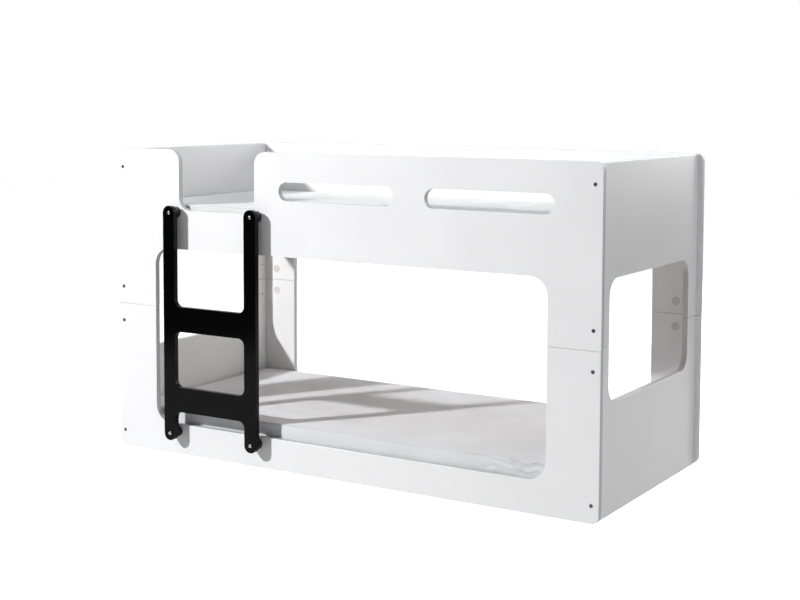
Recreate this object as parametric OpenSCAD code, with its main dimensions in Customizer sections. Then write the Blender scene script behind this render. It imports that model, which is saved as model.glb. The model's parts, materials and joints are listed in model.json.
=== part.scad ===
// Low bunk bed in lacquered board: two stacked units, each of four panels,
// with a bolted-on ladder panel, two slatted bases and two mattresses.
// X runs along the bed, -Y is the ladder side, +Z is up. Millimetres.

/* [Bed] */
// Length of the front and back panels
bed_l = 2080; // [2060:2:2100]
// Depth over the front and back panels
bed_d = 946; // [940:2:970]
// Height of the front and back panels, both units together
bed_h = 1188; // [1180:2:1210]
// Height of the joint between the lower and the upper unit
seam_h = 572; // [566:2:580]
// Thickness of every panel
board_t = 22; // [21:1:23]
// Radius of the outer corners of the front and back panels
corner_r = 28; // [15:1:40]
// How far the end panels sit in from the ends of the long panels
end_inset = 17; // [12:1:20]
// How much lower the end panels finish at the top
end_drop = 5; // [0:1:12]

/* [Windows] */
// Width of the legs left beside the front and back windows
leg_w = 194; // [186:1:200]
// Height of the rail under the front and back windows
rail_h = 117; // [108:1:125]
// Height of the top edge of the front and back windows
window_top = 803; // [795:1:805]
// Corner radius of the front and back windows
window_r = 66; // [40:1:80]
// Distance from the bed's faces to the end windows
end_leg_w = 106; // [100:1:115]
// Height of the bottom edge of the end windows
end_sill = 380; // [360:1:400]
// Height of the top edge of the end windows
end_head = 796; // [780:1:800]
// Corner radius of the end windows
end_window_r = 62; // [40:1:80]

/* [Guard rail] */
// Length of each slot in the guard rail
slot_l = 496; // [460:2:500]
// Height of each slot
slot_h = 70; // [60:2:74]
// Height of the slots' centre line
slot_z = 1044; // [1035:1:1055]
// Board left between the two slots
slot_gap = 128; // [110:2:140]
// Board left between the right-hand slot and the end of the panel
slot_margin = 171; // [160:1:185]

/* [Ladder entry] */
// Middle of the ladder and of the entry, from the left end of the bed
entry_x = 496; // [480:2:510]
// Width of the entry
entry_w = 362; // [350:2:376]
// Height of the bottom of the entry
entry_z = 954; // [945:1:960]
// Radius of the two corners at the bottom of the entry
entry_r = 50; // [30:1:60]
// Radius that rounds the entry's two top corners
entry_lip_r = 48; // [15:1:60]

/* [Ladder] */
// Width of the ladder panel
ladder_w = 444; // [430:2:460]
// Lowest point of the ladder panel
ladder_low = 62; // [58:1:66]
// Highest point of the ladder panel
ladder_top = 974; // [968:1:980]
// Thickness of the ladder panel
ladder_t = 20; // [18:1:22]
// Width of each stile
stile_w = 55; // [50:1:58]
// Height of the two rungs' lower edges
rung_z = [178, 490];
// Height of each rung
rung_h = 96; // [80:1:100]
// Radius where a rung runs into a stile
rung_r = 27; // [15:1:35]
// Length of the spacers between ladder and bed
spacer_l = 28; // [20:1:40]
// Diameter of the spacers
spacer_d = 42; // [30:1:50]

/* [Slatted bases] */
// Height of the lower slats' undersides
lower_base_z = 32; // [32:1:34]
// Height of the upper slats' undersides
upper_base_z = 838; // [836:1:840]
// Section of the bearers that carry the slats
bearer = 30; // [26:1:30]
// Length of the bearers
bearer_l = 1960; // [1900:10:1980]
// Width of a slat
slat_w = 90; // [70:1:95]
// Thickness of a slat
slat_t = 18; // [15:1:18]
// Distance from slat to slat
slat_pitch = 155; // [150:1:156]

/* [Mattresses] */
// Length of each mattress
mattress_l = 1990; // [1960:2:1992]
// Width of each mattress
mattress_w = 890; // [870:2:892]
// Thickness of each mattress
mattress_t = 120; // [100:2:120]
// Radius of the mattress corners seen from above
mattress_r = 45; // [20:1:60]

/* [Hidden] */
SLATS = 13;
two_digits = [for (i = [1 : SLATS]) i < 10 ? str("0", i) : str(i)];

$fn = 64;
eps = 1;                    // how far a cut runs past the face that it opens
fit = 0.05;                 // radial room between a fastener and its hole
hair = 0.01;                // keeps a fully round end's straight side from vanishing

LEFT = -1;
RIGHT = 1;
FRONT = -1;
BACK = 1;
LOWER = 0;
UPPER = 1;

// Fasteners
bolt_r = 3;                 // corner bolts and connector rods
bolt_head_r = 6.5;
bolt_head_t = 3;
bolt_head_sunk = 2;
bolt_l = 58;                // from the panel's outer face to the tip
bolt_socket_t = 2.5;
key_d = 5 / cos(30);        // a 5 mm hexagon key, over its corners
bolt_z = [[61, 504], [639, 1115]];
barrel_r = 5;
barrel_l = 14;
barrel_in = 30;             // from the end panel's edge to the barrel nut
dowel_r = 4;
corner_dowel_l = 30;
corner_dowel_in = 12;       // how deep a corner dowel enters the long panel
corner_dowel_z = [280, 880];
seam_dowel_l = 50;
seam_dowel_spread = 55;     // from the middle of a leg to each seam dowel
screw_r = 2;
screw_head_r = 4;
screw_head_t = 3;
screw_in = 12;              // how deep a bearer screw enters the long panel
screws_per_bearer = 6;
screw_pitch = 360;

// Ladder bolts and the nuts that they run into
ladder_bolt_r = 4;
ladder_head_r = 7;
ladder_head_t = 4.4;
ladder_head_rim = 1.2;      // straight part of the head next to the panel
ladder_head_slope = 2.4;    // how much the head narrows towards its top
ladder_socket_t = 2.8;
ladder_bolt_in = 20;        // how deep a ladder bolt enters the panel
insert_r = 5.5;
insert_l = 14;
insert_flange_r = 10;
insert_flange_t = 1.5;

// Connectors that pull the two units together across the seam
connector_dz = 49;          // from the seam to the middle of a pocket
pocket_r = 15;
pocket_depth = 14;
rod_depth = 8;              // from the panel's inner face to the rod's axis
rod_past = 1;               // how far a rod passes the middle of its pocket
washer_h = 6;
washer_t = 10;
washer_room = 0.2;          // between a washer and its pocket's wall
nut_af = 10;
nut_h = 5;
cap_r = 16;
cap_t = 1.6;
cap_skirt_l = 2.5;
cap_skirt_w = 1.5;
cap_room = 0.1;             // between a cap's skirt and its pocket's wall

slat_edge_r = 4;
slat_room = 6;              // between each end of a slat and the long panel
tape_w = 25;
tape_t = 1;
tape_y = 280;
mattress_gap = 0.5;         // room between the slats and a mattress at rest

// Faces of the bed: the origin is under the middle of the whole object
reach_front = spacer_l + ladder_t + ladder_head_t;
reach_back = bolt_head_t - bolt_head_sunk;
front_y = reach_front - (bed_d + reach_front + reach_back) / 2;
back_y = front_y + bed_d;
mid_y = (front_y + back_y) / 2;
inner_x = bed_l / 2 - end_inset - board_t;
end_mid_x = inner_x + board_t / 2;
leg_mid_x = (bed_l - leg_w) / 2;
entry_mid_x = entry_x - bed_l / 2;
stile_mid_dx = (ladder_w - stile_w) / 2;
ladder_bolt_z = [ladder_low + stile_w / 2, ladder_top - stile_w / 2];
unit_z = [[0, seam_h], [seam_h, bed_h]];
base_z = [lower_base_z, upper_base_z];
slat_l = bed_d - 2 * board_t - 2 * slat_room;
tape_l = (SLATS - 1) * slat_pitch + slat_w;

// Inner face of the front or the back panel
function inner_y(side) = side == FRONT ? front_y + board_t : back_y - board_t;
// Outer face of the front or the back panel
function outer_y(side) = side == FRONT ? front_y : back_y;

// Puts children's +Z along the bed's depth, from the given side inwards
module inwards(side, x, y, z) {
    translate([x, y, z]) rotate([side == FRONT ? -90 : 90, 0, 0]) children();
}

// Puts children's +Z towards the given end of the bed
module endwards(end, x, y, z) {
    translate([x, y, z]) rotate([0, end * 90, 0]) children();
}

// Rectangle with true arcs at its corners, from x0, y0 to x1, y1
module rounded(x0, y0, x1, y1, r) {
    translate([x0 + r, y0]) square([x1 - x0 - 2 * r, y1 - y0]);
    translate([x0, y0 + r]) square([x1 - x0, y1 - y0 - 2 * r]);
    for (x = [x0 + r, x1 - r], y = [y0 + r, y1 - r]) translate([x, y]) circle(r = r);
}

// Keeps the part of a full-height outline that belongs to one unit
module unit_of(unit) {
    z = unit_z[unit];
    intersection() {
        children();
        translate([-bed_l, z[0]]) square([2 * bed_l, z[1] - z[0]]);
    }
}

// ---- Long panels -------------------------------------------------------

// Entry above the ladder, with its top corners rounded off outwards
module entry_cut() {
    x0 = entry_mid_x - entry_w / 2;
    x1 = entry_mid_x + entry_w / 2;
    rounded(x0, entry_z, x1, bed_h + 2 * entry_r, entry_r);
    for (s = [LEFT, RIGHT])
        translate([entry_mid_x + s * (entry_w / 2 + entry_lip_r), bed_h - entry_lip_r])
            difference() {
                translate([s > 0 ? -entry_lip_r - eps : 0, 0])
                    square([entry_lip_r + eps, entry_lip_r + eps]);
                circle(r = entry_lip_r);
            }
}

// Two long slots in the guard rail
module slot_cuts() {
    for (i = [0, 1]) {
        x1 = bed_l / 2 - slot_margin - i * (slot_l + slot_gap);
        rounded(x1 - slot_l, slot_z - slot_h / 2, x1, slot_z + slot_h / 2, slot_h / 2 - hair);
    }
}

module long_outline(unit, side) {
    x = bed_l / 2;
    unit_of(unit) difference() {
        rounded(-x, 0, x, bed_h, corner_r);
        rounded(leg_w - x, rail_h, x - leg_w, window_top, window_r);
        if (side == FRONT) {
            entry_cut();
            slot_cuts();
        }
    }
}

// Everything that is bored into a long panel of one unit
module long_bores(unit, side) {
    for (end = [LEFT, RIGHT]) {
        for (z = bolt_z[unit]) inwards(side, end * end_mid_x, outer_y(side), z) {
            translate([0, 0, -eps]) cylinder(r = bolt_r + fit, h = board_t + 2 * eps);
            translate([0, 0, -eps]) cylinder(r = bolt_head_r + fit, h = bolt_head_sunk + eps);
        }
        inwards(side, end * end_mid_x, inner_y(side) + side * corner_dowel_in, corner_dowel_z[unit])
            cylinder(r = dowel_r + fit, h = corner_dowel_in + eps);
        pocket_z = seam_h + (unit == UPPER ? connector_dz : -connector_dz);
        inwards(side, end * leg_mid_x, inner_y(side) + side * pocket_depth, pocket_z)
            cylinder(r = pocket_r, h = pocket_depth + eps);
        translate([end * leg_mid_x, inner_y(side) + side * rod_depth, seam_h - connector_dz])
            cylinder(r = bolt_r + fit, h = 2 * connector_dz);
        for (s = [-1, 1])
            translate([end * leg_mid_x + s * seam_dowel_spread, (inner_y(side) + outer_y(side)) / 2,
                       seam_h - seam_dowel_l / 2])
                cylinder(r = dowel_r + fit, h = seam_dowel_l);
    }
    for (i = [0 : screws_per_bearer - 1])
        inwards(side, screw_x(i), inner_y(side) + side * screw_in, base_z[unit] - bearer / 2)
            cylinder(r = screw_r + fit, h = screw_in + eps);
    if (side == FRONT) for (s = [LEFT, RIGHT])
        inwards(side, entry_mid_x + s * stile_mid_dx, front_y, ladder_bolt_z[unit]) {
            translate([0, 0, -eps]) cylinder(r = ladder_bolt_r + fit, h = board_t + 2 * eps);
            translate([0, 0, board_t - insert_l]) cylinder(r = insert_r + fit, h = insert_l + eps);
        }
}

function screw_x(i) = (i - (screws_per_bearer - 1) / 2) * screw_pitch;

module long_panel(unit, side) {
    y1 = side == FRONT ? front_y + board_t : back_y;
    color("white") difference() {
        translate([0, y1, 0]) rotate([90, 0, 0]) linear_extrude(board_t) long_outline(unit, side);
        long_bores(unit, side);
    }
}

// ---- End panels --------------------------------------------------------

module end_outline(unit) {
    unit_of(unit) difference() {
        translate([inner_y(FRONT), 0]) square([inner_y(BACK) - inner_y(FRONT), bed_h - end_drop]);
        rounded(front_y + end_leg_w, end_sill, back_y - end_leg_w, end_head, end_window_r);
    }
}

module end_panel(unit, end) {
    color("white") difference() {
        translate([end * end_mid_x - board_t / 2, 0, 0])
            rotate([90, 0, 90]) linear_extrude(board_t) end_outline(unit);
        for (side = [FRONT, BACK]) {
            for (z = bolt_z[unit]) {
                inwards(side, end * end_mid_x, inner_y(side) + side * eps, z)
                    cylinder(r = bolt_r + fit, h = bolt_l - board_t + 2 * eps);
                endwards(end, end * inner_x - end * eps, inner_y(side) - side * barrel_in, z)
                    cylinder(r = barrel_r + fit, h = board_t / 2 + barrel_l / 2 + eps);
            }
            inwards(side, end * end_mid_x, inner_y(side) + side * eps, corner_dowel_z[unit])
                cylinder(r = dowel_r + fit, h = corner_dowel_l - corner_dowel_in + eps);
            translate([end * end_mid_x, end_dowel_y(side), seam_h - seam_dowel_l / 2])
                cylinder(r = dowel_r + fit, h = seam_dowel_l);
        }
    }
}

// Middle of an end panel's leg, between the long panel and the window
function end_dowel_y(side) = (inner_y(side) + outer_y(side) - side * end_leg_w) / 2;

// ---- Slatted bases -----------------------------------------------------

module bearer_bar(unit, side) {
    y0 = side == FRONT ? inner_y(FRONT) : inner_y(BACK) - bearer;
    z0 = base_z[unit] - bearer;
    color("burlywood") difference() {
        translate([-bearer_l / 2, y0, z0]) cube([bearer_l, bearer, bearer]);
        for (i = [0 : screws_per_bearer - 1])
            inwards(side, screw_x(i), inner_y(side) + side * eps, z0 + bearer / 2) {
                cylinder(r = screw_r + fit, h = bearer + 2 * eps);
                translate([0, 0, bearer + eps - screw_head_t])
                    cylinder(r1 = screw_r + fit, r2 = screw_head_r + fit, h = screw_head_t);
            }
    }
}

// One slat with eased edges, counted from the left end
module slat(unit, i) {
    x = (i - (SLATS - 1) / 2) * slat_pitch;
    color("wheat") translate([x, mid_y + slat_l / 2, base_z[unit]])
        rotate([90, 0, 0]) linear_extrude(slat_l) rounded(-slat_w / 2, 0, slat_w / 2, slat_t, slat_edge_r);
}

// Two tapes stapled under the slats of one base
module slat_tapes(unit) {
    color("gainsboro") for (s = [-1, 1])
        translate([-tape_l / 2, mid_y + s * tape_y - tape_w / 2, base_z[unit] - tape_t])
            cube([tape_l, tape_w, tape_t]);
}

module mattress(unit) {
    x = mattress_l / 2;
    y = mattress_w / 2;
    color("whitesmoke") translate([0, mid_y, base_z[unit] + slat_t + mattress_gap])
        linear_extrude(mattress_t) rounded(-x, -y, x, y, mattress_r);
}

// ---- Ladder ------------------------------------------------------------

module ladder_outline() {
    w = ladder_w / 2;
    gap = w - stile_w;
    end_r = stile_w / 2 - hair;
    rung_top = [for (z = rung_z) z + rung_h];
    difference() {
        translate([-w, ladder_low + stile_w / 2])
            square([ladder_w, ladder_top - ladder_low - stile_w]);
        rounded(-gap, ladder_low - bed_h, gap, rung_z[0], rung_r);
        rounded(-gap, rung_top[0], gap, rung_z[1], rung_r);
        rounded(-gap, rung_top[1], gap, ladder_top + bed_h, rung_r);
    }
    for (s = [-1, 1])
        rounded(s * stile_mid_dx - stile_w / 2, ladder_low,
                s * stile_mid_dx + stile_w / 2, ladder_top, end_r);
}

module ladder_panel() {
    color("black") difference() {
        translate([entry_mid_x, front_y - spacer_l, 0])
            rotate([90, 0, 0]) linear_extrude(ladder_t) ladder_outline();
        for (s = [LEFT, RIGHT], z = ladder_bolt_z)
            inwards(FRONT, entry_mid_x + s * stile_mid_dx, front_y - spacer_l - ladder_t - eps, z)
                cylinder(r = ladder_bolt_r + fit, h = ladder_t + 2 * eps);
    }
}

module spacer(end, unit) {
    color("black") inwards(FRONT, entry_mid_x + end * stile_mid_dx, front_y - spacer_l, ladder_bolt_z[unit])
        difference() {
            cylinder(d = spacer_d, h = spacer_l);
            translate([0, 0, -eps]) cylinder(r = ladder_bolt_r + fit, h = spacer_l + 2 * eps);
        }
}

// Button-head socket bolts through stile, spacer and front panel
module ladder_bolts() {
    color("silver") for (s = [LEFT, RIGHT], z = ladder_bolt_z)
        inwards(FRONT, entry_mid_x + s * stile_mid_dx, front_y - spacer_l - ladder_t, z)
            difference() {
                union() {
                    cylinder(r = ladder_bolt_r, h = ladder_t + spacer_l + ladder_bolt_in);
                    translate([0, 0, -ladder_head_rim]) cylinder(r = ladder_head_r, h = ladder_head_rim);
                    translate([0, 0, -ladder_head_t])
                        cylinder(r1 = ladder_head_r - ladder_head_slope, r2 = ladder_head_r,
                                 h = ladder_head_t - ladder_head_rim);
                }
                translate([0, 0, -ladder_head_t - eps])
                    cylinder(d = key_d, h = ladder_socket_t + eps, $fn = 6);
            }
}

// Flanged nuts pressed into the front panels from inside
module ladder_insert_nuts() {
    color("silver") for (s = [LEFT, RIGHT], z = ladder_bolt_z)
        inwards(FRONT, entry_mid_x + s * stile_mid_dx, inner_y(FRONT) - insert_l, z)
            difference() {
                union() {
                    cylinder(r = insert_r, h = insert_l);
                    translate([0, 0, insert_l]) cylinder(r = insert_flange_r, h = insert_flange_t);
                }
                translate([0, 0, -eps])
                    cylinder(r = ladder_bolt_r + fit, h = insert_l + insert_flange_t + 2 * eps);
            }
}

// ---- Corner fasteners --------------------------------------------------

// Socket-head bolts along one side, their heads let into the panel's face
module corner_bolts(side) {
    color("dimgray") for (end = [LEFT, RIGHT], unit = [LOWER, UPPER], z = bolt_z[unit])
        inwards(side, end * end_mid_x, outer_y(side), z)
            difference() {
                union() {
                    cylinder(r = bolt_r, h = bolt_l);
                    translate([0, 0, bolt_head_sunk - bolt_head_t])
                        cylinder(r = bolt_head_r, h = bolt_head_t);
                }
                translate([0, 0, bolt_head_sunk - bolt_head_t - eps])
                    cylinder(d = key_d, h = bolt_socket_t + eps, $fn = 6);
            }
}

// Cross-drilled barrels in the end panels that the corner bolts pull on
module barrel_nuts() {
    color("silver") for (end = [LEFT, RIGHT], side = [FRONT, BACK], unit = [LOWER, UPPER], z = bolt_z[unit])
        translate([end * end_mid_x, inner_y(side) - side * barrel_in, z])
            difference() {
                rotate([0, 90, 0]) cylinder(r = barrel_r, h = barrel_l, center = true);
                rotate([90, 0, 0]) cylinder(r = bolt_r + fit, h = 3 * barrel_r, center = true);
            }
}

// Wooden dowels between long panels and end panels
module corner_dowels() {
    color("tan") for (end = [LEFT, RIGHT], side = [FRONT, BACK], z = corner_dowel_z)
        inwards(side, end * end_mid_x, inner_y(side) + side * corner_dowel_in, z)
            cylinder(r = dowel_r, h = corner_dowel_l);
}

// ---- Fittings across the seam ------------------------------------------

// Places children at each connector, Z from the seam towards the unit's pocket
module at_connectors() {
    for (end = [LEFT, RIGHT], side = [FRONT, BACK], way = [0, 1])
        translate([end * leg_mid_x, inner_y(side) + side * rod_depth, seam_h])
            mirror([0, 0, way]) children();
}

module connector_rods() {
    color("silver") for (end = [LEFT, RIGHT], side = [FRONT, BACK])
        translate([end * leg_mid_x, inner_y(side) + side * rod_depth, seam_h - connector_dz - rod_past])
            cylinder(r = bolt_r, h = 2 * (connector_dz + rod_past));
}

// Half-moon washers that bear on the pocket walls nearest the seam
module connector_washers() {
    color("silver") at_connectors() difference() {
        intersection() {
            translate([0, 0, connector_dz]) rotate([90, 0, 0])
                cylinder(r = pocket_r - washer_room, h = washer_t, center = true);
            translate([-pocket_r, -pocket_r, connector_dz - pocket_r])
                cube([2 * pocket_r, 2 * pocket_r, washer_h]);
        }
        cylinder(r = bolt_r + fit, h = connector_dz);
    }
}

module connector_nuts() {
    color("silver") at_connectors() translate([0, 0, connector_dz - pocket_r + washer_h])
        difference() {
            rotate([0, 0, 30]) cylinder(d = nut_af / cos(30), h = nut_h, $fn = 6);
            translate([0, 0, -eps]) cylinder(r = bolt_r + fit, h = nut_h + 2 * eps);
        }
}

// Push-in covers over the connector pockets
module cover_caps() {
    color("white") for (end = [LEFT, RIGHT], side = [FRONT, BACK], s = [-1, 1])
        inwards(side, end * leg_mid_x, inner_y(side), seam_h + s * connector_dz) {
            cylinder(r = cap_r, h = cap_t);
            translate([0, 0, -cap_skirt_l]) difference() {
                cylinder(r = pocket_r - cap_room, h = cap_skirt_l);
                translate([0, 0, -eps]) cylinder(r = pocket_r - cap_skirt_w, h = cap_skirt_l + eps);
            }
        }
}

// Wooden dowels that line the two units up, in the long and in the end panels
module seam_dowels() {
    color("tan") for (end = [LEFT, RIGHT], side = [FRONT, BACK]) {
        for (s = [-1, 1])
            translate([end * leg_mid_x + s * seam_dowel_spread, (inner_y(side) + outer_y(side)) / 2,
                       seam_h - seam_dowel_l / 2])
                cylinder(r = dowel_r, h = seam_dowel_l);
        translate([end * end_mid_x, end_dowel_y(side), seam_h - seam_dowel_l / 2])
            cylinder(r = dowel_r, h = seam_dowel_l);
    }
}

// Countersunk screws that hold the bearers to the long panels
module bearer_screws() {
    color("goldenrod") for (unit = [LOWER, UPPER], side = [FRONT, BACK], i = [0 : screws_per_bearer - 1])
        inwards(side, screw_x(i), inner_y(side) + side * screw_in, base_z[unit] - bearer / 2) {
            cylinder(r = screw_r, h = screw_in + bearer - screw_head_t);
            translate([0, 0, screw_in + bearer - screw_head_t])
                cylinder(r1 = screw_r, r2 = screw_head_r, h = screw_head_t);
        }
}

long_panel(LOWER, FRONT);  // lower_front_panel
long_panel(LOWER, BACK);  // lower_back_panel
end_panel(LOWER, LEFT);  // lower_left_end
end_panel(LOWER, RIGHT);  // lower_right_end
long_panel(UPPER, FRONT);  // upper_front_panel
long_panel(UPPER, BACK);  // upper_back_panel
end_panel(UPPER, LEFT);  // upper_left_end
end_panel(UPPER, RIGHT);  // upper_right_end
bearer_bar(LOWER, FRONT);  // lower_front_bearer
bearer_bar(LOWER, BACK);  // lower_back_bearer
bearer_bar(UPPER, FRONT);  // upper_front_bearer
bearer_bar(UPPER, BACK);  // upper_back_bearer
for (i = [0 : SLATS - 1]) {
    slat(LOWER, i);
    slat(UPPER, i);
}
slat_tapes(LOWER);  // lower_slat_tapes
slat_tapes(UPPER);  // upper_slat_tapes
mattress(LOWER);  // lower_mattress
mattress(UPPER);  // upper_mattress
ladder_panel();
spacer(LEFT, UPPER);  // spacer_top_left
spacer(RIGHT, UPPER);  // spacer_top_right
spacer(LEFT, LOWER);  // spacer_low_left
spacer(RIGHT, LOWER);  // spacer_low_right
ladder_bolts();
ladder_insert_nuts();
corner_bolts(FRONT);  // front_corner_bolts
corner_bolts(BACK);  // back_corner_bolts
barrel_nuts();
corner_dowels();
connector_rods();
connector_washers();
connector_nuts();
cover_caps();
seam_dowels();
bearer_screws();
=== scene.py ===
import json
import math

import bmesh
import bpy
from mathutils import Euler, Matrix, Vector, noise


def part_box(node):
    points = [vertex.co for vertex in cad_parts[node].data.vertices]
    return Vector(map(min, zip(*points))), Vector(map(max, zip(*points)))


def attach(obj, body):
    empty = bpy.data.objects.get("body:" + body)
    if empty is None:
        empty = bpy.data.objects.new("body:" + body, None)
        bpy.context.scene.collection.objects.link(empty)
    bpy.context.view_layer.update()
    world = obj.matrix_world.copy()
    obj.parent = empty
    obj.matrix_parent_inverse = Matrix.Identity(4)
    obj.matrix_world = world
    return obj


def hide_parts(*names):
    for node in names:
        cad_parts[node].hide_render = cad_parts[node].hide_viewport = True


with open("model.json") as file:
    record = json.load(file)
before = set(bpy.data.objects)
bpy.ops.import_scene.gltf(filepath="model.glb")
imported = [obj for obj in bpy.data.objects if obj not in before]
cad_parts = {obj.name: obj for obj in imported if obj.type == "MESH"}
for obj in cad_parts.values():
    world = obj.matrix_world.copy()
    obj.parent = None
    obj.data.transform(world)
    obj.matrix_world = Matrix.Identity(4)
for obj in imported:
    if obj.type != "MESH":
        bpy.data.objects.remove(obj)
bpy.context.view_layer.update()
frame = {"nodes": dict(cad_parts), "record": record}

# A low bunk bed of lacquered boards with two mattresses and a ladder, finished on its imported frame:
# eased boards and slats, cotton covers over foam, and a plain white studio round it.

# ---- Sizes, in metres --------------------------------------------------------

BOARD_EASE = 0.0018         # radius along the edges of the lacquered boards
LADDER_EASE = 0.0025
PINE_EASE = 0.0015
EASE_STEPS = 3              # facets across an eased edge
SHARP_TURN = math.radians(40)        # an edge that turns by more than this may be eased
SHADED_TURN = math.radians(38)       # and one that turns by more than this shades sharp
FLAT_TURN = math.radians(0.3)        # faces that turn by less than this are one face
SAME_POINT = 1e-5           # points closer together than this are one
BOARD_RUN = 0.30            # outlines shorter than this are bores, and stay sharp
SLAT_RUN = 0.15
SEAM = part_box("lower_front_panel")[1].z
SEAM_GAP = 0.0010           # what shows between the two units
AT_SEAM = 1e-4              # how near the seam a point counts as on it
CUT_TONE = 0.66             # the lacquer's tone on a board's sawn edges, of that on its faces

MATTRESS_CORNER = 0.045     # radius of a mattress's corners seen from above
MATTRESS_EDGE = 0.007       # radius along its top and bottom edges
TINY = 1e-9                 # a length below this is none
COVER_ROOM = (0.003, 0.003, 0.002)   # how far the cover starts inside the CAD block
GRID_STEPS = (0.020, 0.020, 0.007)   # between the cover's grid lines along X, Y and Z
EDGE_LINES = (0, 0.0024, 0.0047, 0.007, 0.013, 0.022, 0.034)    # and in from each of its edges
HELD_STRIP = 0.010          # height above the underside that the slats hold still
CLOTH_FRAMES = 20
CLOTH = {
    "quality": 5,
    "mass": 0.25,
    "tension_stiffness": 12,
    "compression_stiffness": 12,
    "shear_stiffness": 6,
    "bending_stiffness": 1.5,
    "use_pressure": True,
    "uniform_pressure_force": 4.0,
}
SIDE_CAP = 0.0025           # the most that the swelling moves a point outwards
TOP_CAP = 0.006
SEAM_RADIUS = 0.0012
SEAM_SIDES = 8
SEAM_BAND = 1.2 * MATTRESS_EDGE      # how far from the edge's height a seam's points may lie
SEAM_STEP = 0.02            # between the seam's points along a straight
SEAM_TURN = 0.25            # and round a corner, in radians
SEAM_OUTWARD = 3            # how much more a seam keeps to the outside than to the height

# The cover's relief: heights in metres, and sizes in cells of noise per metre
WAVE_HEIGHT = 0.0022
WAVE_CELLS = 2.3
RIPPLE_CELLS = 6.5
RIPPLE_SHARE = 0.35         # height of the ripples on the waves, of the waves' own
CREASE_HEIGHT = 0.0010
CREASE_CELLS = (11, 34)
CREASE_THINNESS = 5
SLACK_CELLS = (5, 12)       # of the patches that have creases
BORDER_FADE = 0.10          # how far in from the edge the folds end and the creases begin
FOLD_HEIGHT = 0.0040
FOLD_PITCH = 190            # radians of fold per metre down the border
FOLD_SLANT = 60             # radians of fold per metre away from where the cover is pulled
FOLD_BEND = 9               # how far a fold wanders, in radians of fold
FOLD_EVEN, FOLD_UNEVEN = 0.25, 1.3   # the folds' steady part, and the part that comes and goes
BEND_CELLS = (9, 16)        # round the mattress and down its side, like those below
FOLD_CELLS = (17, 26)
RIDGE_CELLS = (21, 34)
RIDGE_THINNESS = 6
RIDGE_DIP = -0.4            # the level between ridges, where a ridge's top is 1
RIDGE_SHARE = 0.55
RUFFLE_CELLS = (40, 58)
RUFFLE_SHARE = 0.8
PULL_REACH = (0.05, 0.26)   # from where the cover is pulled, the folds fade between these
CORNER_REACH = (0.04, 0.20)          # and these, from a corner
CORNER_SHARE = 0.6          # height of the folds at a corner, of those at the pull
LOWER_PULL = (0.78, -0.44)  # where the cover is pulled, from the middle of the mattress
UPPER_PULL = (-0.80, -0.44)
LOWER_SEED, UPPER_SEED = 1, 4        # each gives another pattern of waves, creases and folds

# ---- Camera and light --------------------------------------------------------

CAMERA_AT = (2.893, -4.710, 1.3958)
CAMERA_YAW = 31.562         # degrees, to the left of +Y
CAMERA_PITCH = -4.290
CAMERA_ROLL = 0.208
CAMERA_LENS = 64.69         # millimetres
CAMERA_SHIFT = -0.12

KEY_AIM = (-0.544, -0.485, 0.5)      # near the middle of the ladder
KEY_DIRECTION = (0.458, 0.673, -0.424)       # the way that the key light travels there
KEY_DISTANCE = 4.5
KEY_WIDTH = 0.25            # of its round face: how soft its shadows are
KEY_ENERGY = 49
FLOOR_ENERGY = 3.4          # of the sun that lights the floor alone
WORLD_STRENGTH = 0.04
WORLD_TINT = (0.97, 0.98, 1)
# The place, aim, width and height, and power of each softbox
SOFTBOXES = {
    "right_fill": ((4.5, 0.4, 1.6), (0, 0, 0.6), (3.0, 2.5), 24),
    "top_fill": ((0, 0, 4.0), (0, 0, 0), (4.0, 4.0), 84),
    "back_fill": ((1.0, 5.0, 2.2), (0, 0, 0.6), (4.0, 2.5), 160),
}
FLOOR_HALF = 14.0
FLOOR_CELLS = 24
FLOOR_TONE = (0.9, 0.9, 0.9)
FLOOR_GLOW = (0.45, 0.45, 0.45)      # the floor's tone for the light that it sends to the bed
MIRROR_FADE = (2.9, 3.7)    # how far out the floor darkens to black in glossy faces
FLOOR_DROP = 0.0005         # keeps the floor's face apart from the panels' undersides


# ---- Node trees --------------------------------------------------------------
# Noise and wave scales are in cells or bands per metre, and bump distances are in metres.

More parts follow.
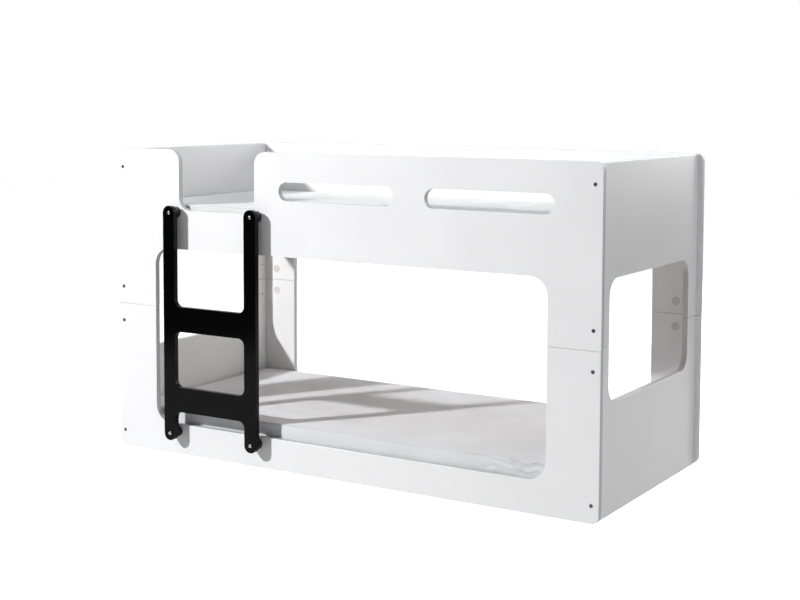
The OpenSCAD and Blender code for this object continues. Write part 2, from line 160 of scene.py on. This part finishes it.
class Tree:
    """A material's node tree with short ways to add nodes and join them."""

    def __init__(self, name, color, roughness, **constants):
        self.material = bpy.data.materials.new(name)
        self.material.use_nodes = True
        self.nodes = self.material.node_tree.nodes
        self.links = self.material.node_tree.links
        self.bsdf = self.nodes["Principled BSDF"]
        self.bsdf.inputs["Base Color"].default_value = (*color, 1)
        self.bsdf.inputs["Roughness"].default_value = roughness
        for socket, value in constants.items():
            self.bsdf.inputs[socket.replace("_", " ")].default_value = value
        self.place = self.nodes.new("ShaderNodeTexCoord").outputs["Object"]
        self.bumped = None

    def add(self, kind, output, **values):
        """A new node's output.

        Values go to inputs by name, or by number as in0, in1 and so on: sockets are linked, and
        others are set. A name that starts with _ is one of the node's own properties.
        """
        node = self.nodes.new(kind)
        for name, value in values.items():
            if name.startswith("_"):
                setattr(node, name[1:], value)
                continue
            socket = node.inputs[int(name[2:])] if name.startswith("in") else node.inputs[name]
            if isinstance(value, bpy.types.NodeSocket):
                self.links.new(value, socket)
            else:
                socket.default_value = value
        return node.outputs[output]

    def stretched(self, scale):
        """The object's coordinates, stretched along each axis."""
        return self.add("ShaderNodeMapping", "Vector", Vector=self.place, Scale=scale)

    def noise(self, scale, detail=2.0, roughness=0.5, distortion=0.0, at=None):
        return self.add("ShaderNodeTexNoise", "Fac", Vector=at or self.place, Scale=scale,
                        Detail=detail, Roughness=roughness, Distortion=distortion)

    def wave(self, scale, direction, distortion=0.0, at=None):
        return self.add("ShaderNodeTexWave", "Fac", Vector=at or self.place, Scale=scale,
                        Distortion=distortion, _bands_direction=direction)

    def ranged(self, value, low, high, start=0.0, end=1.0):
        """The value, which goes from low to high as it was from start to end."""
        return self.add("ShaderNodeMapRange", "Result", Value=value, in1=start, in2=end,
                        in3=low, in4=high)

    def math(self, operation, a, b):
        return self.add("ShaderNodeMath", "Value", _operation=operation, in0=a, in1=b)

    def ramp(self, value, *stops):
        """A colour ramp through (position, colour) stops."""
        output = self.add("ShaderNodeValToRGB", "Color", Fac=value)
        ramp = output.node.color_ramp
        while len(ramp.elements) < len(stops):
            ramp.elements.new(0.5)
        for element, (position, color) in zip(ramp.elements, stops):
            element.position = position
            element.color = (*color, 1)
        return output

    def mix(self, factor, a, b):
        """The colour a where factor is 0, b where it is 1."""
        a, b = (c if isinstance(c, bpy.types.NodeSocket) else (*c, 1) for c in (a, b))
        return self.add("ShaderNodeMix", 2, _data_type="RGBA", in0=factor, in6=a, in7=b)

    def bump(self, height, distance):
        """Adds a layer of bump to those that are there already."""
        values = {"Height": height, "Distance": distance}
        if self.bumped:
            values["Normal"] = self.bumped
        self.bumped = self.add("ShaderNodeBump", "Normal", **values)

    def done(self, color=None, roughness=None):
        if color:
            self.links.new(color, self.bsdf.inputs["Base Color"])
        if roughness:
            self.links.new(roughness, self.bsdf.inputs["Roughness"])
        if self.bumped:
            self.links.new(self.bumped, self.bsdf.inputs["Normal"])
        return self.material


def scaled(color, factor):
    return tuple(c * factor for c in color)


# ---- Materials ---------------------------------------------------------------

KNOT_TONE = (0.22, 0.10, 0.04)


def lacquer(name, color, roughness, peel, coat, specular):
    """Sprayed lacquer: orange peel, a drifting haze, and a darker, greyer tone on the sawn edges."""
    t = Tree(name, color, roughness, Coat_Weight=coat, Coat_Roughness=0.12,
             Specular_IOR_Level=specular)
    haze = t.noise(5, detail=4)
    tint = t.ramp(haze, (0.3, scaled(color, 0.985)), (0.7, scaled(color, 1.01)))
    dust = t.ranged(t.noise(420, detail=1), 0, 1, 0.70, 0.78)
    cloud = t.math("ADD", haze, t.math("MULTIPLY", t.noise(90, detail=3), 0.5))
    shine = t.ranged(cloud, roughness * 0.82, roughness * 1.22, 0.4, 1.1)
    cut = t.add("ShaderNodeAttribute", "Fac", _attribute_name="cut_edge")
    fibre = t.noise(700, detail=3)
    # the sawn edges get a darker tone than the faces, with fibres in it
    edge = scaled(color, CUT_TONE)
    darker_edge_tone = t.ramp(fibre, (0.35, scaled(edge, 0.94)), (0.65, scaled(edge, 1.05)))
    t.bump(t.noise(260, detail=3), peel)
    t.bump(dust, peel * 0.6)
    t.bump(t.math("MULTIPLY", fibre, cut), peel)
    return t.done(t.mix(cut, tint, darker_edge_tone),
                  t.math("ADD", shine, t.math("MULTIPLY", cut, 0.15)))


def pine(name, color, along):
    """Planed pine with growth rings, fine fibres and a few knots, its grain along one axis."""
    t = Tree(name, color, 0.6, Specular_IOR_Level=0.3)
    squeeze, across = {"X": ((0.10, 1, 1), "Y"), "Y": ((1, 0.10, 1), "X")}[along]
    grain = t.stretched(squeeze)
    knots = t.add("ShaderNodeTexVoronoi", "Distance", Vector=grain, Scale=9)
    near_knot = t.ranged(knots, 1, 0, 0.03, 0.16)
    pull = t.math("MULTIPLY", near_knot, 0.03)
    moved = t.add("ShaderNodeVectorMath", "Vector", _operation="ADD", in0=grain, in1=pull)
    rings = t.wave(34, across, distortion=5, at=moved)
    fibre = t.noise(420, detail=3, at=grain)
    board = t.ramp(rings, (0.15, scaled(color, 1.12)), (0.62, color), (0.9, scaled(color, 0.74)))
    board = t.mix(t.ranged(fibre, 0, 0.35, 0.35, 0.75), board, scaled(color, 0.8))
    board = t.mix(t.ranged(knots, 0.85, 0, 0.012, 0.045), board, KNOT_TONE)
    board = t.mix(t.ranged(t.noise(3, detail=2), 0, 0.35, 0.35, 0.7), board, scaled(color, 0.9))
    t.bump(rings, 0.00012)
    t.bump(fibre, 0.00015)
    return t.done(board, t.ranged(fibre, 0.5, 0.72, 0.3, 0.8))


def beech(name, color):
    """Turned beech: pale, with small dark flecks."""
    t = Tree(name, color, 0.55, Specular_IOR_Level=0.3)
    flecks = t.noise(225, detail=2)
    t.bump(flecks, 0.0001)
    tone = t.ramp(flecks, (0.3, scaled(color, 1.08)), (0.62, color), (0.72, scaled(color, 0.6)))
    return t.done(tone, t.ranged(flecks, 0.45, 0.65))


def cotton(name, color):
    """A plain-woven cotton cover: crossing threads, slubs and small creases."""
    t = Tree(name, color, 0.85, Sheen_Weight=0.25, Sheen_Roughness=0.5, Specular_IOR_Level=0.2)
    warp, weft, upright = (t.wave(260, axis, distortion=0.4) for axis in "XYZ")
    threads = t.math("MAXIMUM", t.math("MAXIMUM", warp, weft), upright)
    slubs = t.noise(60, detail=3, at=t.stretched((1, 6, 6)))
    mottle = t.noise(4, detail=3)
    creases = t.noise(11, detail=4, roughness=0.55, distortion=1.2)
    tone = t.mix(t.ranged(mottle, 0, 1, 0.3, 0.7), scaled(color, 0.975), scaled(color, 1.02))
    tone = t.mix(t.ranged(slubs, 0, 0.4, 0.55, 0.8), tone, scaled(color, 0.95))
    tone = t.mix(t.ranged(threads, 0.12, 0, 0.2, 0.8), tone, scaled(color, 0.8))
    t.bump(creases, 0.0016)
    t.bump(slubs, 0.00015)
    t.bump(threads, 0.00018)
    return t.done(tone, t.ranged(slubs, 0.78, 0.95))


def tape(name, color):
    """Woven tape: diagonal ribs, with finer ones across it."""
    t = Tree(name, color, 0.7, Sheen_Weight=0.15, Specular_IOR_Level=0.3)
    ribs = t.wave(180, "DIAGONAL")
    cross = t.wave(240, "X")
    t.bump(ribs, 0.00025)
    t.bump(cross, 0.0002)
    return t.done(t.mix(t.ranged(ribs, 0, 0.5), color, scaled(color, 0.82)),
                  t.ranged(cross, 0.6, 0.8))


def metal(name, color, roughness, spangle, brush):
    """Plated steel: spangle and clouds in its tone, and fine turning marks in its gloss."""
    t = Tree(name, color, roughness, Metallic=1.0, Anisotropic=0.2)
    cells = t.add("ShaderNodeTexVoronoi", "Color", Vector=t.place, Scale=420)
    grey = t.add("ShaderNodeSeparateColor", "Red", Color=cells)
    cloud = t.noise(130, detail=3)
    tone = t.mix(t.ranged(grey, 0, spangle), color, scaled(color, 0.7))
    tone = t.mix(t.ranged(cloud, 0, 0.3, 0.4, 0.7), tone, scaled(color, 0.82))
    marks = t.noise(1500, detail=2, at=t.stretched((1, 0.05, 1)))
    t.bump(marks, brush)
    return t.done(tone, t.ranged(marks, roughness * 0.75, roughness * 1.3))


def yellow_zinc(name):
    """Yellow chromate plating: gold that drifts towards pink and green."""
    t = Tree(name, (0.72, 0.58, 0.30), 0.32, Metallic=1.0)
    drift = t.noise(90, detail=2, distortion=1.5)
    t.bump(t.noise(1200, detail=2), 0.00003)
    green, gold, pink = (0.70, 0.60, 0.36), (0.76, 0.58, 0.27), (0.72, 0.50, 0.38)
    return t.done(t.ramp(drift, (0.3, green), (0.5, gold), (0.7, pink)),
                  t.ranged(t.noise(300), 0.24, 0.42))


def moulded(name, color, roughness):
    """Injection-moulded plastic with a fine spark-eroded texture."""
    t = Tree(name, color, roughness, Specular_IOR_Level=0.5)
    grain = t.noise(1600, detail=2)
    flow = t.noise(40, detail=2, distortion=0.8)
    t.bump(grain, 0.00004)
    return t.done(t.ramp(flow, (0.3, scaled(color, 0.97)), (0.7, scaled(color, 1.02))),
                  t.ranged(grain, roughness * 0.85, roughness * 1.15))


def pale_floor(name):
    """A matt white floor that sends less light to the bed, and is dark far out in its gloss."""
    t = Tree(name, FLOOR_TONE, 0.8, Specular_IOR_Level=0.0)
    path = t.nodes.new("ShaderNodeLightPath")
    away = t.add("ShaderNodeVectorMath", "Value", _operation="LENGTH", in0=t.place)
    mirrored = t.mix(t.ranged(away, 0, 1, *MIRROR_FADE), FLOOR_GLOW, (0, 0, 0))
    glow = t.mix(path.outputs["Is Glossy Ray"], FLOOR_GLOW, mirrored)
    return t.done(t.mix(path.outputs["Is Camera Ray"], glow, FLOOR_TONE))


FINISHES = {
    "white_lacquer": (lacquer, dict(color=(0.83, 0.83, 0.84), roughness=0.33, peel=0.00012,
                                    coat=0.15, specular=0.45)),
    "black_lacquer": (lacquer, dict(color=(0.0012, 0.0012, 0.0014), roughness=0.13, peel=0.00004,
                                    coat=0.0, specular=0.16)),
    "black_spacer": (moulded, dict(color=(0.006, 0.006, 0.0065), roughness=0.35)),
    "pine_bearer": (pine, dict(color=(0.70, 0.57, 0.41), along="X")),
    "pine_slat": (pine, dict(color=(0.74, 0.62, 0.46), along="Y")),
    "slat_tape": (tape, dict(color=(0.78, 0.78, 0.76))),
    "lower_mattress_cover": (cotton, dict(color=(0.730, 0.735, 0.766))),
    "upper_mattress_cover": (cotton, dict(color=(0.726, 0.730, 0.745))),
    "seam": (tape, dict(color=(0.74, 0.74, 0.745))),
    "bright_steel": (metal, dict(color=(0.86, 0.86, 0.86), roughness=0.18, spangle=0.1,
                                 brush=0.00002)),
    "dark_steel": (metal, dict(color=(0.20, 0.20, 0.21), roughness=0.38, spangle=0.25,
                               brush=0.00003)),
    "zinc_steel": (metal, dict(color=(0.62, 0.64, 0.67), roughness=0.34, spangle=0.4,
                               brush=0.00003)),
    "yellow_zinc": (yellow_zinc, {}),
    "beech_dowel": (beech, dict(color=(0.66, 0.47, 0.29))),
    "white_cap": (moulded, dict(color=(0.62, 0.62, 0.62), roughness=0.42)),
}
MATERIALS = {name: finish(name, **values) for name, (finish, values) in FINISHES.items()}

BODIES = frame["record"]["behaviour"]["bodies"]
BODY_OF = {node: body for body, nodes in BODIES.items() for node in nodes}
SLOT_OF = {part["node"]: part["material_slot"] for part in frame["record"]["subparts"]}


# ---- Hard pieces -------------------------------------------------------------

def long_sharp_edges(bm, run):
    """Sharp edges that hang together in outlines at least run long, in the same order each run."""
    sharp = dict.fromkeys(e for e in bm.edges
                          if e.is_manifold and e.calc_face_angle(0) > SHARP_TURN)
    found = []
    while sharp:
        todo, outline = [sharp.popitem()[0]], []
        while todo:
            edge = todo.pop()
            outline.append(edge)
            for vert in edge.verts:
                for other in vert.link_edges:
                    if other in sharp:
                        del sharp[other]
                        todo.append(other)
        if sum(e.calc_length() for e in outline) >= run:
            found += outline
    return found


def sort_faces(bm):
    """Puts the faces in one order, because triangulate leaves them in another each run."""
    bm.verts.index_update()
    count = len(bm.verts)

    def rank(face):
        first, second, third = (vert.index for vert in face.verts[:3])
        return (first * count + second) * count + third

    bm.faces.sort(key=rank)


def eased(node, radius, run):
    """A finished piece for a CAD node: the same shape, with its outline's edges rounded off."""
    bm = bmesh.new()
    bm.from_mesh(frame["nodes"][node].data)
    bmesh.ops.remove_doubles(bm, verts=bm.verts, dist=SAME_POINT)
    bmesh.ops.dissolve_limit(bm, angle_limit=FLAT_TURN, verts=bm.verts, edges=bm.edges)
    low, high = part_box(node)
    for vert in bm.verts:
        if abs(vert.co.z - SEAM) < AT_SEAM:
            vert.co.z += math.copysign(SEAM_GAP / 2, low.z + high.z - 2 * SEAM)
    bmesh.ops.bevel(bm, geom=long_sharp_edges(bm, run), offset=radius, offset_type="OFFSET",
                    segments=EASE_STEPS, profile=0.5, affect="EDGES", clamp_overlap=True)
    bmesh.ops.recalc_face_normals(bm, faces=bm.faces)
    bmesh.ops.triangulate(bm, faces=[f for f in bm.faces if len(f.verts) > 4])
    sort_faces(bm)
    mesh = bpy.data.meshes.new(node + "_finished")
    bm.to_mesh(mesh)
    bm.free()
    if "custom_normal" in mesh.attributes:
        mesh.attributes.remove(mesh.attributes["custom_normal"])
    mark_cut_edges(mesh, thin=min(range(3), key=lambda axis: high[axis] - low[axis]))
    piece = finished_object(mesh, node)
    mesh.set_sharp_from_angle(angle=SHADED_TURN)
    piece.modifiers.new("face_weighted_normals", "WEIGHTED_NORMAL").keep_sharp = True


def mark_cut_edges(mesh, thin):
    """Marks a board's narrow faces, which don't look along the axis that it is thin in."""
    cut = mesh.attributes.new("cut_edge", "FLOAT", "FACE")
    cut.data.foreach_set("value", [float(abs(p.normal[thin]) < 0.5) for p in mesh.polygons])


def linked_object(mesh):
    piece = bpy.data.objects.new(mesh.name, mesh)
    bpy.context.scene.collection.objects.link(piece)
    return piece


def shade_smooth(mesh):
    mesh.polygons.foreach_set("use_smooth", [True] * len(mesh.polygons))


def finished_object(mesh, node):
    """Puts a mesh in the scene in place of a CAD node, on its body and in its material."""
    piece = linked_object(mesh)
    mesh.materials.clear()
    mesh.materials.append(MATERIALS[SLOT_OF[node]])
    shade_smooth(mesh)
    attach(piece, BODY_OF[node])
    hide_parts(node)
    return piece


def make_hard_pieces():
    """Eased pieces for what shows; the fittings inside keep their CAD shape."""
    for node in frame["nodes"]:
        slot = SLOT_OF[node]
        if slot == "white_lacquer":
            eased(node, BOARD_EASE, BOARD_RUN)
        elif slot == "black_lacquer":
            eased(node, LADDER_EASE, BOARD_RUN)
        elif slot in ("pine_bearer", "pine_slat"):
            eased(node, PINE_EASE, SLAT_RUN)
        elif not slot.endswith("mattress_cover"):
            mesh = frame["nodes"][node].data
            mesh.materials.clear()
            mesh.materials.append(MATERIALS[slot])


# ---- Mattresses --------------------------------------------------------------

def mesh_of(name, verts, faces):
    mesh = bpy.data.meshes.new(name)
    mesh.from_pydata(verts, [], faces)
    return mesh


def grid_lines(half, step):
    """Places from -half to half, close together near the ends."""
    inner = half - EDGE_LINES[-1]
    steps = max(1, round(2 * inner / step))
    near = [half - d for d in EDGE_LINES[:-1]]
    even = [-inner + 2 * inner * i / steps for i in range(steps + 1)]
    return [-x for x in near] + even + near[::-1]


def rounded_block(half):
    """Vertices and quads of a block round the origin, rounded in plan and along its edges."""
    xs, ys, zs = (grid_lines(h, step) for h, step in zip(half, GRID_STEPS))
    index, verts, faces = {}, [], []

    def vert(i, j, k):
        if (i, j, k) not in index:
            index[i, j, k] = len(verts)
            verts.append(on_rounded_block(Vector((xs[i], ys[j], zs[k])), half))
        return index[i, j, k]

    def quad(*corners):
        faces.append([vert(*corner) for corner in corners])

    nx, ny, nz = len(xs) - 1, len(ys) - 1, len(zs) - 1
    for i in range(nx):
        for j in range(ny):
            quad((i, j, nz), (i + 1, j, nz), (i + 1, j + 1, nz), (i, j + 1, nz))
            quad((i, j, 0), (i, j + 1, 0), (i + 1, j + 1, 0), (i + 1, j, 0))
    for k in range(nz):
        for i in range(nx):
            quad((i, 0, k), (i + 1, 0, k), (i + 1, 0, k + 1), (i, 0, k + 1))
            quad((i, ny, k), (i, ny, k + 1), (i + 1, ny, k + 1), (i + 1, ny, k))
        for j in range(ny):
            quad((0, j, k), (0, j, k + 1), (0, j + 1, k + 1), (0, j + 1, k))
            quad((nx, j, k), (nx, j + 1, k), (nx, j + 1, k + 1), (nx, j, k + 1))
    return verts, faces


def from_core(p, half):
    """The nearest point to p in the plan inside the corners' centres, and the way out to p."""
    reach = half[0] - MATTRESS_CORNER, half[1] - MATTRESS_CORNER
    core = Vector((max(-reach[0], min(reach[0], p.x)), max(-reach[1], min(reach[1], p.y))))
    return core, Vector((p.x, p.y)) - core


def on_rounded_block(p, half):
    """Moves a point of a sharp block on to the rounded one."""
    core, out = from_core(p, half)
    if out.length < TINY:
        return p
    height = p.z
    reach = max(abs(out.x), abs(out.y))
    flat_reach = MATTRESS_CORNER - MATTRESS_EDGE
    flat_height = half[2] - MATTRESS_EDGE
    outwards = (reach - flat_reach) / MATTRESS_EDGE
    upwards = (abs(p.z) - flat_height) / MATTRESS_EDGE
    if outwards > 0 and upwards > 0:         # on the rounded edge, at an angle from upright
        on_top = abs(abs(p.z) - half[2]) < TINY
        angle = math.radians(45 * outwards if on_top else 90 - 45 * upwards)
        reach = flat_reach + MATTRESS_EDGE * math.sin(angle)
        height = math.copysign(flat_height + MATTRESS_EDGE * math.cos(angle), p.z)
    flat = core + out.normalized() * reach
    return Vector((flat.x, flat.y, height))


def swollen(verts, faces, half):
    """The block as a cotton cover blown up over its foam, with its underside held."""
    mesh = mesh_of("cover_trial", verts, faces)
    trial = linked_object(mesh)
    scene = bpy.context.scene
    held = trial.vertex_groups.new(name="held")
    held.add([i for i, v in enumerate(verts) if v.z < -half[2] + HELD_STRIP], 1.0, "REPLACE")
    cloth = trial.modifiers.new("cover", "CLOTH")
    for name, value in CLOTH.items():
        setattr(cloth.settings, name, value)
    cloth.settings.effector_weights.gravity = 0
    cloth.settings.vertex_group_mass = "held"
    cloth.collision_settings.use_collision = False
    cloth.point_cache.frame_end = CLOTH_FRAMES
    for number in range(1, CLOTH_FRAMES + 1):
        scene.frame_set(number)
    shaped = trial.evaluated_get(bpy.context.evaluated_depsgraph_get())
    moved = [v.co.copy() for v in shaped.data.vertices]
    scene.frame_set(1)
    bpy.data.objects.remove(trial)
    bpy.data.meshes.remove(mesh)
    return [capped(old, new) for old, new in zip(verts, moved)]


def capped(old, new):
    """Where a swelling point stops: it nears a limit that is lower at the sides than on top."""
    move = new - old
    sideways = Vector((move.x, move.y, 0))
    sideways *= SIDE_CAP / (SIDE_CAP + sideways.length)
    return old + sideways + Vector((0, 0, move.z * TOP_CAP / (TOP_CAP + abs(move.z))))


def subdivided(verts, faces):
    """The vertices and faces after one round of subdivision."""
    mesh = mesh_of("coarse", verts, faces)
    coarse = linked_object(mesh)
    coarse.modifiers.new("once", "SUBSURF").levels = 1
    fine = coarse.evaluated_get(bpy.context.evaluated_depsgraph_get()).data
    result = [v.co.copy() for v in fine.vertices], [list(p.vertices) for p in fine.polygons]
    bpy.data.objects.remove(coarse)
    bpy.data.meshes.remove(mesh)
    return result


def smooth_step(value, start, end):
    t = max(0.0, min(1.0, (value - start) / (end - start)))
    return t * t * (3 - 2 * t)


def along_border(p, half):
    """How far round the mattress a point is, and how far down its side from the top edge.

    On top, the second is below zero: it is how far in from the edge the point is.
    """
    to_end, to_side = half[0] - abs(p.x), half[1] - abs(p.y)
    around = p.x + p.y if to_end > to_side else p.y - p.x
    inside, down = min(to_end, to_side), half[2] - p.z
    return around, down if inside < down else -inside


def flat_noise(u, v, cells, level):
    """Smooth noise over a plane; each level has another pattern."""
    return noise.noise(Vector((u * cells[0], v * cells[1], level)))


def waves(p, seed):
    """Long soft waves, and ripples on them."""
    spot = Vector((p.x + seed * 3.7, p.y + seed * 1.3, p.z + seed))
    ripples = noise.noise(spot * RIPPLE_CELLS) * RIPPLE_SHARE
    return (noise.noise(spot * WAVE_CELLS) + ripples) * WAVE_HEIGHT


def creases(p, seed):
    """Thin raised lines from packing, in the patches where the cover is slack."""
    slack = flat_noise(p.x, p.y, SLACK_CELLS, seed + 5.0)
    line = 1 - CREASE_THINNESS * abs(flat_noise(p.x, p.y, CREASE_CELLS, seed + 9.0))
    return max(0.0, line) * max(0.0, slack) * CREASE_HEIGHT


def folds(p, half, around, down, pull, seed):
    """Uneven folds and ruffles along the border, near the pull and near the corners."""
    from_pull = (Vector((p.x, p.y)) - Vector(pull)).length
    from_corner = Vector((half[0] - abs(p.x), half[1] - abs(p.y))).length
    strength = max(1 - smooth_step(from_pull, *PULL_REACH),
                   CORNER_SHARE * (1 - smooth_step(from_corner, *CORNER_REACH)))
    bend = flat_noise(around, down, BEND_CELLS, seed + 2.0) * FOLD_BEND
    fold = math.sin(down * FOLD_PITCH + from_pull * FOLD_SLANT + bend)
    fold *= FOLD_EVEN + flat_noise(around, down, FOLD_CELLS, seed) * FOLD_UNEVEN
    ridge = 1 - RIDGE_THINNESS * abs(flat_noise(around, down, RIDGE_CELLS, seed + 7.0))
    ruffle = flat_noise(around, down, RUFFLE_CELLS, seed + 3.0) * RUFFLE_SHARE
    return (fold + max(RIDGE_DIP, ridge) * RIDGE_SHARE + ruffle) * FOLD_HEIGHT * strength


def rise(p, half, pull, seed):
    """How far the cover stands out at a point."""
    around, down = along_border(p, half)
    near_border = 1 - smooth_step(-down, 0.0, BORDER_FADE)
    return (waves(p, seed) + creases(p, seed) * (1 - near_border)
            + folds(p, half, around, down, pull, seed) * near_border)


def wrinkled(verts, faces, half, pull, seed):
    """Moves the cover's points out along their normals; the underside stays flat."""
    mesh = mesh_of("wrinkle_trial", verts, faces)
    normals = [v.normal.copy() for v in mesh.vertices]
    bpy.data.meshes.remove(mesh)
    result = []
    for v, normal in zip(verts, normals):
        free = smooth_step(v.z, -half[2] + HELD_STRIP / 2, -half[2] + 3 * HELD_STRIP)
        result.append(v + normal * rise(v, half, pull, seed) * free)
    return result


def tube_round(points, radius, sides):
    """A closed tube along a ring of points in a nearly level plane."""
    verts, faces = [], []
    for i, p in enumerate(points):
        way = (points[(i + 1) % len(points)] - points[i - 1]).normalized()
        across = way.cross(Vector((0, 0, 1))).normalized()
        up = across.cross(way)
        for s in range(sides):
            a = 2 * math.pi * s / sides
            verts.append(p + (across * math.cos(a) + up * math.sin(a)) * radius)
    for i in range(len(points)):
        for s in range(sides):
            t, j = (s + 1) % sides, (i + 1) % len(points)
            faces.append([i * sides + s, j * sides + s, j * sides + t, i * sides + t])
    return verts, faces


def seam_ring(verts, half, height):
    """The cover's outermost points near a height on its rounded edge, in order round it."""
    outermost = {}
    for v in verts:
        core, out = from_core(v, half)
        if abs(v.z - height) > SEAM_BAND or out.length < MATTRESS_CORNER - MATTRESS_EDGE:
            continue
        key = (round(core.x / SEAM_STEP), round(core.y / SEAM_STEP),
               round(math.atan2(out.y, out.x) / SEAM_TURN))
        score = SEAM_OUTWARD * out.length + math.copysign(v.z, height)
        if key not in outermost or score > outermost[key][0]:
            outermost[key] = (score, v)
    ring = sorted((v for _, v in outermost.values()),
                  key=lambda v: math.atan2(v.y / half[1], v.x / half[0]))
    for _ in range(2):
        ring = [(ring[i - 1] + 2 * p + ring[(i + 1) % len(ring)]) / 4 for i, p in enumerate(ring)]
    return ring


def sewn_seam(name, ring, node):
    """The corded seam along one edge of a mattress's cover."""
    mesh = mesh_of(name, *tube_round(ring, SEAM_RADIUS, SEAM_SIDES))
    seam = linked_object(mesh)
    mesh.materials.append(MATERIALS["seam"])
    shade_smooth(mesh)
    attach(seam, BODY_OF[node])


def mattress(node, shape, pull, seed):
    """A foam mattress in a fitted cotton cover with sewn edges, in the place of its CAD block."""
    verts, faces, half = shape
    low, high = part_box(node)
    middle = (low + high) / 2
    verts = wrinkled(verts, faces, half, pull, seed)
    cover = finished_object(mesh_of(node + "_in_cover", [v + middle for v in verts], faces), node)
    for edge, height in (("top", half[2]), ("bottom", -half[2])):
        ring = [v + middle for v in seam_ring(verts, half, height)]
        sewn_seam(f"{node}_{edge}_seam", ring, node)


def cover_shape():
    """The shape that both mattresses start from, round the origin, and half its block's size."""
    low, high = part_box("lower_mattress")
    half = [(high[i] - low[i]) / 2 - room for i, room in enumerate(COVER_ROOM)]
    verts, faces = rounded_block(half)
    verts = swollen(verts, faces, half)
    return (*subdivided(verts, faces), half)


# ---- Stage -------------------------------------------------------------------

def make_floor():
    bm = bmesh.new()
    bmesh.ops.create_grid(bm, x_segments=FLOOR_CELLS, y_segments=FLOOR_CELLS, size=FLOOR_HALF)
    mesh = bpy.data.meshes.new("floor")
    bm.to_mesh(mesh)
    bm.free()
    mesh.materials.append(pale_floor("pale_floor"))
    floor = linked_object(mesh)
    floor.location.z = -FLOOR_DROP
    return floor


def placed_light(name, kind, at, direction, energy):
    data = bpy.data.lights.new(name, kind)
    data.energy = energy
    light = bpy.data.objects.new(name, data)
    light.location = at
    light.rotation_euler = Vector(direction).to_track_quat("-Z", "Y").to_euler()
    bpy.context.scene.collection.objects.link(light)
    return light


def make_softbox(name, at, aim, size, energy):
    box = placed_light(name, "AREA", at, Vector(aim) - Vector(at), energy)
    box.data.shape = "RECTANGLE"
    box.data.size, box.data.size_y = size


def link_light(light, receiver, state):
    """Makes a light fall on one object alone (INCLUDE), or on all but that one (EXCLUDE)."""
    group = bpy.data.collections.new(light.name + "_receivers")
    group.objects.link(receiver)
    light.light_linking.receiver_collection = group
    group.collection_objects[0].light_linking.link_state = state


def make_lights(floor):
    way = Vector(KEY_DIRECTION).normalized()
    key = placed_light("key", "AREA", Vector(KEY_AIM) - way * KEY_DISTANCE, way, KEY_ENERGY)
    key.data.shape = "DISK"
    key.data.size = KEY_WIDTH
    key.data.use_nodes = True        # so that it fades with distance, not with distance squared
    lamp = key.data.node_tree
    fade = lamp.nodes.new("ShaderNodeLightFalloff")
    fade.inputs["Strength"].default_value = 1.0
    lamp.links.new(fade.outputs["Linear"], lamp.nodes["Emission"].inputs["Strength"])
    link_light(key, floor, "EXCLUDE")
    overhead = placed_light("floor_light", "SUN", (0, 0, 3), (0, 0, -1), FLOOR_ENERGY)
    overhead.data.use_shadow = False
    link_light(overhead, floor, "INCLUDE")
    for name, (at, aim, size, energy) in SOFTBOXES.items():
        make_softbox(name, at, aim, size, energy)


def make_world():
    """A dim even light from all round, and white behind everything.

    The camera sees the white all round, and gloss mirrors it only towards the back.
    """
    world = bpy.data.worlds.new("studio")
    bpy.context.scene.world = world
    world.use_nodes = True
    tree = world.node_tree
    seen, lighting = tree.nodes["Background"], tree.nodes.new("ShaderNodeBackground")
    seen.inputs["Color"].default_value = (1, 1, 1, 1)
    seen.inputs["Strength"].default_value = 1.0
    lighting.inputs["Color"].default_value = (*WORLD_TINT, 1)
    lighting.inputs["Strength"].default_value = WORLD_STRENGTH
    path = tree.nodes.new("ShaderNodeLightPath")
    way = tree.nodes.new("ShaderNodeSeparateXYZ")
    tree.links.new(tree.nodes.new("ShaderNodeTexCoord").outputs["Generated"], way.inputs[0])
    whiteness = tree.nodes.new("ShaderNodeMath")     # a glossy ray's way back, or a camera ray
    whiteness.operation = "MULTIPLY_ADD"
    whiteness.use_clamp = True
    tree.links.new(path.outputs["Is Glossy Ray"], whiteness.inputs[0])
    tree.links.new(way.outputs["Y"], whiteness.inputs[1])
    tree.links.new(path.outputs["Is Camera Ray"], whiteness.inputs[2])
    mix = tree.nodes.new("ShaderNodeMixShader")
    tree.links.new(whiteness.outputs[0], mix.inputs[0])
    tree.links.new(lighting.outputs[0], mix.inputs[1])
    tree.links.new(seen.outputs[0], mix.inputs[2])
    tree.links.new(mix.outputs[0], tree.nodes["World Output"].inputs["Surface"])


def make_camera():
    data = bpy.data.cameras.new("camera")
    data.lens = CAMERA_LENS
    data.shift_y = CAMERA_SHIFT
    camera = bpy.data.objects.new("camera", data)
    camera.location = CAMERA_AT
    turned = Euler((math.radians(90 + CAMERA_PITCH), 0, math.radians(CAMERA_YAW))).to_matrix()
    rolled = Euler((0, 0, math.radians(CAMERA_ROLL))).to_matrix()
    camera.rotation_euler = (turned @ rolled).to_euler()
    bpy.context.scene.collection.objects.link(camera)
    bpy.context.scene.camera = camera


make_camera()
make_lights(make_floor())
make_world()
bpy.context.scene.view_settings.view_transform = "Standard"
make_hard_pieces()
SHAPE = cover_shape()
mattress("lower_mattress", SHAPE, LOWER_PULL, LOWER_SEED)
mattress("upper_mattress", SHAPE, UPPER_PULL, UPPER_SEED)
